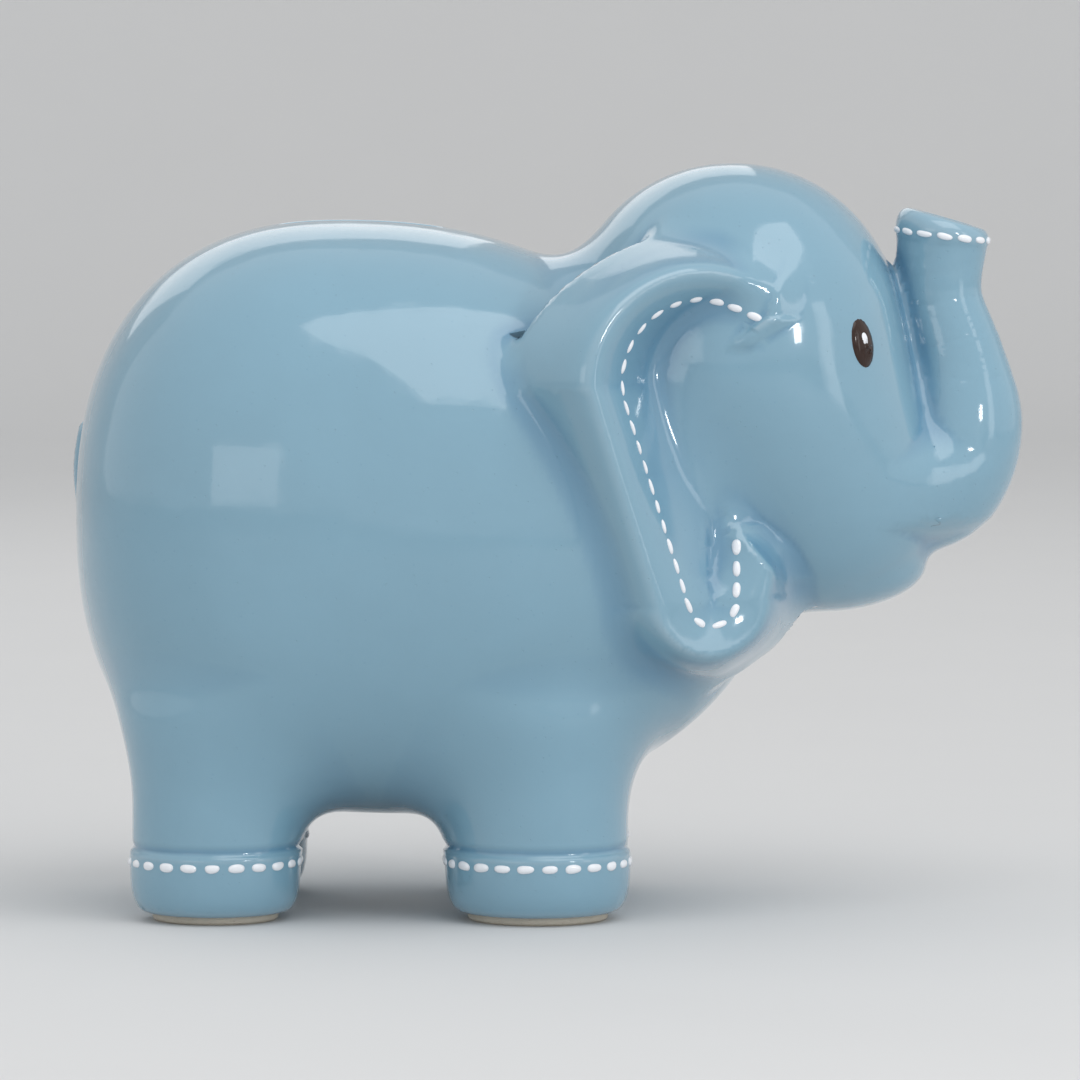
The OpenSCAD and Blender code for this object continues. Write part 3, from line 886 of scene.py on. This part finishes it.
def enamel_finish(c):
    """Thick white glaze trailed on as stitches, bluish where it thins at the skin."""
    f = Finish("trailed_white_enamel", IOR=1.52, Coat_Roughness=0.03, Coat_Weight=0.5)
    height = f.attribute("height")
    mottle = f.noise(420, 3)
    edge = (1 - height * 1.5).clamped()
    base = f.mix(edge * 0.55 + mottle * 0.10, tuple(c.enamel), tuple(c.glaze_thin))
    f.feed(Base_Color=base, Roughness=0.13 + 0.10 * mottle,
           Normal=f.bump(f.noise(700, 2), 0.00012))
    return f.material


def eye_finish(c):
    """Nearly black brown enamel, a little redder and thinner at its edge."""
    f = Finish("brown_eye_enamel", IOR=1.38, Coat_Roughness=0.02, Coat_Weight=0.15)
    height = f.attribute("height")
    mottle = f.noise(500, 3)
    edge = (1 - height * 2.2).clamped()
    brown = tuple(x * 1.6 for x in c.pupil)
    f.feed(Base_Color=f.mix(edge * 0.7 + mottle * 0.15, tuple(c.pupil), brown),
           Roughness=0.07 + 0.05 * mottle, Normal=f.bump(f.noise(260, 2), 0.0001))
    return f.material


def clay_finish(c):
    """Bare, wiped clay: matte, grainy and a little soiled from use."""
    f = Finish("wiped_bare_clay", IOR=1.45)
    grain = f.noise(2600, 3, 0.6)
    cloud = f.noise(90, 4, 0.6)
    grit = f.spots(900, 0.16)
    soiled = tuple(x * 0.72 for x in c.clay)
    base = f.mix(cloud * 0.55, tuple(c.clay), soiled)
    base = f.mix(grit * 0.35, base, (0.30, 0.24, 0.17))
    f.feed(Base_Color=base, Roughness=0.80 + 0.12 * grain,
           Normal=f.bump(grain + grit * -0.5, 0.00025))
    return f.material


def rubber_finish(c):
    """Translucent-white soft vinyl with a faint moulded grain and handling marks."""
    f = Finish("soft_white_vinyl", IOR=1.49)
    cloud = f.noise(70, 3)
    grain = f.noise(1800, 2)
    scuff = f.noise(300, 4, 0.7, lumpy=1.2)
    yellowed = (c.rubber[0] * 0.92, c.rubber[1] * 0.86, c.rubber[2] * 0.72)
    f.feed(Base_Color=f.mix(cloud * 0.6, tuple(c.rubber), yellowed),
           Roughness=0.40 + 0.16 * scuff, Normal=f.bump(grain + scuff, 0.00012))
    return f.material


def dressed(obj, material, body, slot, *nodes):
    """Gives a finished piece its material, its body and the nodes it stands for; slot is not used.
    """
    obj.data.materials.clear()
    obj.data.materials.append(material)
    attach(obj, body)
    if nodes:
        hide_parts(*nodes)


# ---- Small pieces ----

def pill(bm, layer, place, size, square=2.4, sunk=0.35, rng=None):
    """A raised drop of glaze: place is a matrix with Z off the skin, size is half sizes."""
    made = bmesh.ops.create_uvsphere(bm, u_segments=20, v_segments=12, radius=1)
    lean, swell = (rng.normal(0, 0.10), rng.normal(0, 0.07)) if rng else (0, 0)
    for v in made["verts"]:
        d = v.co.normalized()
        k = (abs(d.x) ** square + abs(d.y) ** square + abs(d.z) ** 2) ** (1 / square)
        q = d / k
        q.y *= 1 + swell * q.x
        q.y += lean * (q.x * q.x - 0.4)
        v[layer] = max(q.z, 0)
        v.co = place @ Vector((q.x * size[0], q.y * size[1], (q.z - sunk) * size[2]))


def frames(skin, p, along):
    """Matrices that stand on the skin at p, with X towards along."""
    n = skin.normal(p)
    t = along - (along * n).sum(axis=1)[:, None] * n
    t /= np.linalg.norm(t, axis=1)[:, None]
    b = np.cross(n, t)
    out = []
    for at, x, y, z in zip(p, t, b, n):
        m = Matrix.Identity(4)
        for column, axis in enumerate((x, y, z, at)):
            for row in range(3):
                m[row][column] = axis[row]
        out.append(m)
    return out


def stitch_row(name, skin, p, along, widths, seed, settings):
    """A row of trailed stitches, each a little different."""
    rng = np.random.default_rng(seed)
    bm = bmesh.new()
    layer = bm.verts.layers.float.new("height")
    d = settings
    for place, share in zip(frames(skin, p, along), widths):
        l = d.stitch_l / 2 * (1 + rng.normal(0, 0.06)) * (0.85 + 0.15 * share)
        w = d.stitch_w / 2 * (1 + rng.normal(0, 0.08)) * share
        turn = Matrix.Rotation(rng.normal(0, 0.06), 4, "Z")
        pill(bm, layer, place @ turn, (l, w, 0.00085 * (0.8 + 0.2 * share)), rng=rng)
    obj = object_from(bm, name)
    obj.data.shade_smooth()
    return obj


def spaced(line, pitch):
    """Points along a line at an even pitch, and each one's share of the way along it."""
    step_length = np.linalg.norm(np.diff(line, axis=0), axis=1)
    run = np.concatenate([[0], np.cumsum(step_length)])
    at = np.arange(pitch / 2, run[-1], pitch)
    p = np.stack([np.interp(at, run, line[:, k]) for k in range(line.shape[1])], axis=1)
    return p, at / run[-1]


# ---- Operators ----

BUILT = {}


def shared(context):
    """The skin, its mesh and the materials, made once for all the pieces."""
    if not BUILT:
        scene = context.scene
        skin = Skin(scene.bank_body, scene.bank_details)
        whole = base_skin(skin)
        BUILT.update(skin=skin, whole=whole, label=split(whole, skin))
        c = scene.bank_finish
        BUILT.update(blue_glaze=glaze_finish(c), white_enamel=enamel_finish(c),
                     eye_enamel=eye_finish(c), bare_clay=clay_finish(c),
                     stopper_rubber=rubber_finish(c))
    return BUILT


class BANK_OT_body_shell(bpy.types.Operator):
    """Adds the hollow body with its head and four legs, coin slot and belly hole"""
    bl_idname = "bank.body_shell"
    bl_label = "Body"

    def execute(self, context):
        made = shared(context)
        wall = context.scene.bank_body.wall
        obj = shell_of(made["whole"], made["label"], 0, wall, made["skin"])
        glaze_normals(obj, made["skin"])
        dressed(obj, made["blue_glaze"], "bank", "blue_glaze", "body_shell")
        return {"FINISHED"}


class BANK_OT_limbs(bpy.types.Operator):
    """Adds the raised trunk, both ears and the tail"""
    bl_idname = "bank.limbs"
    bl_label = "Trunk, Ears and Tail"

    def execute(self, context):
        made = shared(context)
        for part, name in enumerate(SKIN_PARTS[1:], 1):
            obj = shell_of(made["whole"], made["label"], part, WALLS[name], made["skin"])
            glaze_normals(obj, made["skin"])
            dressed(obj, made["blue_glaze"], "bank", "blue_glaze", name)
        bpy.data.objects.remove(made["whole"])
        return {"FINISHED"}


class BANK_OT_foot_stitches(bpy.types.Operator):
    """Adds the ring of raised stitches round each foot"""
    bl_idname = "bank.foot_stitches"
    bl_label = "Foot Stitches"

    def execute(self, context):
        made = shared(context)
        skin, b = made["skin"], context.scene.bank_body
        for seed, foot in enumerate(FEET):
            end, side = foot.split("_")
            at, r = (b.front_leg, b.front_r) if end == "front" else (b.rear_leg, b.rear_r)
            count = round(2 * math.pi * r / FOOT_PITCH)
            a = 2 * math.pi * (np.arange(count) + 0.5) / count
            out = np.stack([np.cos(a), np.sin(a), 0 * a], axis=1)
            middle = np.array([at[0], SIDES[side] * at[1], b.cuff_h - 0.001])
            p = skin.reach(skin, middle + out * 0.0001, out, -1)
            along = np.stack([-np.sin(a), np.cos(a), 0 * a], axis=1)
            obj = stitch_row(f"stitch_row_foot_{foot}", skin, p, along, np.full(count, 1.12),
                             31 + seed, context.scene.bank_details)
            dressed(obj, made["white_enamel"], "bank", "white_enamel", f"stitches_foot_{foot}")
        return {"FINISHED"}


class BANK_OT_ear_stitches(bpy.types.Operator):
    """Adds the line of raised stitches just inside each ear's rim"""
    bl_idname = "bank.ear_stitches"
    bl_label = "Ear Stitches"

    def execute(self, context):
        made = shared(context)
        skin, d = made["skin"], context.scene.bank_details
        top, low = d.ear_r - STITCH_INSET, d.lobe_r - STITCH_INSET
        a = np.radians(np.arange(42, 198, 3))
        b = np.radians(np.arange(197, 354, 8))
        line = np.concatenate([
            EAR_TOP + top * np.stack([np.cos(a), np.sin(a)], axis=1),
            EAR_LOW + low * np.stack([np.cos(b), np.sin(b)], axis=1),
            [EAR_LOW + np.array([low, 0.016])]])
        xz, share = spaced(line, EAR_PITCH)
        for seed, (name, side) in enumerate(SIDES.items()):
            y = skin.ear_y(xz[:, 0], xz[:, 1])
            p = skin.snap(np.stack([xz[:, 0], side * y, xz[:, 1]], axis=1))
            along = np.gradient(p, axis=0)
            fat = 0.72 + 0.42 * np.abs(2 * share - 0.95) ** 1.5
            obj = stitch_row(f"stitch_row_ear_{name}", skin, p, along, fat, 51 + seed, d)
            dressed(obj, made["white_enamel"], "bank", "white_enamel", f"stitches_ear_{name}")
        return {"FINISHED"}


class BANK_OT_trunk_stitches(bpy.types.Operator):
    """Adds the ring of raised stitches below the trunk's rolled tip"""
    bl_idname = "bank.trunk_stitches"
    bl_label = "Trunk Stitches"

    def execute(self, context):
        made = shared(context)
        skin = made["skin"]
        middle = curve(TRUNK_PATH, np.array([TRUNK_SEAM, TRUNK_SEAM + 0.01]))
        axis = np.array([middle[1, 0] - middle[0, 0], 0, middle[1, 1] - middle[0, 1]])
        axis /= np.linalg.norm(axis)
        across = np.cross(axis, [0, 1, 0])
        a = 2 * math.pi * (np.arange(TRUNK_STITCHES) + 0.5) / TRUNK_STITCHES
        out = np.outer(np.cos(a), across) + np.outer(np.sin(a), [0, 1, 0])
        start = np.array([middle[0, 0], 0, middle[0, 1]]) + out * 0.0001
        p = skin.reach(skin, start, out, -1)
        along = np.cross(axis, out)
        obj = stitch_row("stitch_row_trunk", skin, p, along, np.full(TRUNK_STITCHES, 0.9), 71,
                         context.scene.bank_details)
        dressed(obj, made["white_enamel"], "bank", "white_enamel", "stitches_trunk")
        return {"FINISHED"}


class BANK_OT_eyes(bpy.types.Operator):
    """Adds the two raised enamel eyes and the white glint on each"""
    bl_idname = "bank.eyes"
    bl_label = "Eyes"

    def execute(self, context):
        made = shared(context)
        skin, d = made["skin"], context.scene.bank_details
        for name, side in SIDES.items():
            start = np.array([[EYE_AT[0], side * 0.09, EYE_AT[1]]])
            p = skin.reach(skin, start, np.array([0, -side, 0.0]))
            lean = np.array([[-math.sin(EYE_TILT), 0, math.cos(EYE_TILT)]])
            place = frames(skin, p, lean)[0]
            for label, shift, half, slot, sunk in (
                    ("pupil", (0, 0, 0), (d.eye_h / 2, d.eye_w / 2, 0.0016), "eye_enamel", 0.32),
                    ("glint", (d.eye_h * 0.06, 0, 0.00090),
                     (0.0021, 0.00130, 0.0004), "white_enamel", 0.3)):
                bm = bmesh.new()
                layer = bm.verts.layers.float.new("height")
                pill(bm, layer, place @ Matrix.Translation(shift), half, 2.05, sunk)
                bmesh.ops.subdivide_edges(bm, edges=bm.edges, cuts=1, smooth=1.0,
                                          use_grid_fill=True)
                obj = object_from(bm, f"{label}_{name}")
                obj.data.shade_smooth()
                node = f"eye_{name}" if label == "pupil" else f"eye_glint_{name}"
                dressed(obj, made[slot], "bank", slot, node)
        return {"FINISHED"}


def turned(name, profile, middle, soft, steps=96):
    """A piece turned from a closed profile of radius and height, its corners softened."""
    bm = bmesh.new()
    verts = [bm.verts.new((r, 0, z)) for r, z in profile]
    for a, b in zip(verts, verts[1:]):
        bm.edges.new((a, b))
    if profile[0][0] > 0:
        bm.edges.new((verts[-1], verts[0]))
    bmesh.ops.spin(bm, geom=bm.verts[:] + bm.edges[:], cent=(0, 0, 0), axis=(0, 0, 1),
                   angle=2 * math.pi, steps=steps, use_merge=True)
    bmesh.ops.remove_doubles(bm, verts=bm.verts, dist=1e-6)
    bmesh.ops.recalc_face_normals(bm, faces=bm.faces)
    sharp = [e for e in bm.edges if len(e.link_faces) == 2 and e.calc_face_angle() > 0.35]
    bmesh.ops.bevel(bm, geom=sharp, offset=soft, segments=3, affect="EDGES", profile=0.5,
                    material=-1, clamp_overlap=True)
    for v in bm.verts:
        v.co += Vector(middle)
    obj = object_from(bm, name)
    obj.data.shade_smooth()
    return obj


class BANK_OT_foot_rims(bpy.types.Operator):
    """Adds the unglazed ring that each foot stands on"""
    bl_idname = "bank.foot_rims"
    bl_label = "Foot Rims"

    def execute(self, context):
        made = shared(context)
        b = context.scene.bank_body
        for foot in FEET:
            end, side = foot.split("_")
            at, r = (b.front_leg, b.front_r) if end == "front" else (b.rear_leg, b.rear_r)
            out, inner, top = r - RIM_INSET, r - RIM_INSET - RIM_W, RIM_H + 0.0004
            ring = [(inner, 0), (out - 0.0008, 0), (out, 0.0006), (out + 0.0002, top),
                    (inner, top)]
            obj = turned(f"bare_rim_{foot}", ring, (at[0], SIDES[side] * at[1], 0), 0.0003)
            dressed(obj, made["bare_clay"], "bank", "bare_clay", f"foot_rim_{foot}")
        return {"FINISHED"}


class BANK_OT_stopper(bpy.types.Operator):
    """Adds the soft stopper that closes the hole in the belly"""
    bl_idname = "bank.stopper"
    bl_label = "Stopper"

    def execute(self, context):
        made = shared(context)
        neck = context.scene.bank_details.hole_d / 2 - 0.0003
        flange, deep, grip = 0.0016, 0.0126, context.scene.bank_details.hole_d / 2 - 0.0035
        profile = [(0, 0.0050), (grip, 0.0050), (grip, 0.0006), (grip + 0.0012, 0),
                   (SEAT_R - 0.0010, 0), (SEAT_R - 0.0003, 0.0008), (SEAT_R - 0.0003, flange),
                   (neck - 0.0007, flange), (neck - 0.0007, flange + 0.0042),
                   (neck, flange + 0.0054), (neck - 0.0002, flange + 0.0066),
                   (neck - 0.0018, deep), (neck - 0.0034, deep), (neck - 0.0034, deep - 0.0045),
                   (0, deep - 0.0045)]
        at = Vector(SEAT_AT) - Vector((0, 0, flange))
        obj = turned("belly_stopper", profile, at, 0.00025)
        bm = bmesh.new()
        bm.from_mesh(obj.data)
        bar = bmesh.ops.create_cube(bm, size=1)
        for v in bar["verts"]:
            wide = 0.0030 if v.co.z < 0 else 0.0024
            v.co = at + Vector((v.co.x * (2 * grip + 0.0008), v.co.y * wide,
                                0.0001 if v.co.z < 0 else 0.0020))
        edges = list({e for v in bar["verts"] for e in v.link_edges})
        bmesh.ops.bevel(bm, geom=edges, offset=0.0005, segments=3, affect="EDGES", profile=0.5,
                        material=-1)
        bm.to_mesh(obj.data)
        bm.free()
        obj.data.shade_smooth()
        dressed(obj, made["stopper_rubber"], "stopper", "stopper_rubber", "stopper")
        return {"FINISHED"}


class BANK_OT_stage(bpy.types.Operator):
    """Adds the pale floor, the soft studio lights and the camera"""
    bl_idname = "bank.stage"
    bl_label = "Studio"

    def execute(self, context):
        scene = context.scene
        add_floor()
        world = bpy.data.worlds.new("studio")
        scene.world = world
        world.use_nodes = True
        sky = world.node_tree.nodes["Background"]
        sky.inputs[0].default_value = (0.98, 0.99, 1.0, 1)
        sky.inputs[1].default_value = SKY
        for name, at, target, size, radiance in LIGHTS:
            data = bpy.data.lights.new(name, "AREA")
            data.shape = "RECTANGLE"
            data.size, data.size_y = size
            data.energy = radiance * math.pi * size[0] * size[1]
            light = bpy.data.objects.new(name, data)
            scene.collection.objects.link(light)
            light.location = at
            ahead = Vector(target) - Vector(at)
            light.rotation_euler = ahead.to_track_quat("-Z", "Y").to_euler()
        add_camera(scene)
        scene.view_settings.view_transform = "Standard"
        return {"FINISHED"}


# Each light: name, place, what it points at, its size and its radiance
LIGHTS = [
    ("overhead_softbox", (0.42, -0.55, 1.20), (0, 0, 0.12), (1.15, 0.95), 1.55),
    ("left_panel", (-0.80, -1.35, 0.30), (0, 0, 0.11), (0.75, 0.40), 0.9),
    ("right_lamp", (1.05, -1.15, 0.42), (0.06, 0, 0.14), (0.13, 0.20), 26.0),
    ("right_strip", (1.45, -0.75, 0.35), (0.05, 0, 0.12), (0.30, 1.00), 1.3),
    ("rear_fill", (-0.4, 1.30, 0.90), (0, 0, 0.10), (1.20, 0.70), 0.7),
]


SKY = 0.86


def add_floor():
    """A pale floor that sweeps up behind the bank."""
    bm = bmesh.new()
    profile = [(-4.0, 0)] + [(2.2 + 0.8 * math.sin(a), 0.8 - 0.8 * math.cos(a))
                             for a in np.radians(np.arange(0, 91, 7.5))] + [(3.0, 4.0)]
    left = [bm.verts.new((-4.5, y, z)) for y, z in profile]
    edges = [bm.edges.new(pair) for pair in zip(left, left[1:])]
    made = bmesh.ops.extrude_edge_only(bm, edges=edges)
    for v in made["geom"]:
        if isinstance(v, bmesh.types.BMVert):
            v.co.x = 4.5
    bmesh.ops.recalc_face_normals(bm, faces=bm.faces)
    floor = object_from(bm, "floor")
    floor.data.shade_smooth()
    f = Finish("pale_floor", Roughness=0.75)
    f.feed(Base_Color=f.mix(f.noise(9, 3) * 0.6, (0.66, 0.66, 0.66), (0.63, 0.63, 0.63)))
    floor.data.materials.append(f.material)


def add_camera(scene):
    """A long lens, level with the bank and a little above it."""
    distance, height = 2.40, 0.27
    look = Vector((-0.0029, 0, 0.1006))
    data = bpy.data.cameras.new("camera")
    data.sensor_width = 36
    data.lens = 36 * (distance / 0.2959)
    camera = bpy.data.objects.new("camera", data)
    scene.collection.objects.link(camera)
    camera.location = (look.x, -distance, height)
    camera.rotation_euler = (look - camera.location).to_track_quat("-Z", "Y").to_euler()
    scene.camera = camera


class BANK_PT_panel(bpy.types.Panel):
    """Lists the pieces of the bank and the sizes and colours that they take"""
    bl_idname = "BANK_PT_panel"
    bl_label = "Elephant Coin Bank"
    bl_space_type = "VIEW_3D"
    bl_region_type = "UI"
    bl_category = "Coin Bank"

    def draw(self, context):
        for group in ("bank_body", "bank_details", "bank_finish"):
            box = self.layout.box()
            settings = getattr(context.scene, group)
            for key in settings.bl_rna.properties.keys():
                if key not in ("name", "rna_type"):
                    box.prop(settings, key)
        for operator in OPERATORS:
            self.layout.operator(operator.bl_idname)


GROUPS = {"bank_body": BankBody, "bank_details": BankDetails, "bank_finish": BankFinish}
OPERATORS = (BANK_OT_body_shell, BANK_OT_limbs, BANK_OT_foot_stitches, BANK_OT_ear_stitches,
             BANK_OT_trunk_stitches, BANK_OT_eyes, BANK_OT_foot_rims, BANK_OT_stopper,
             BANK_OT_stage)


def register():
    for kind in (*GROUPS.values(), *OPERATORS, BANK_PT_panel):
        bpy.utils.register_class(kind)
    for name, kind in GROUPS.items():
        setattr(bpy.types.Scene, name, PointerProperty(type=kind))


def unregister():
    for name in GROUPS:
        delattr(bpy.types.Scene, name)
    for kind in (BANK_PT_panel, *reversed(OPERATORS), *reversed(GROUPS.values())):
        bpy.utils.unregister_class(kind)


def main():
    register()
    for operator in OPERATORS:
        group, name = operator.bl_idname.split(".")
        getattr(getattr(bpy.ops, group), name)()


if __name__ == "__main__":
    main()
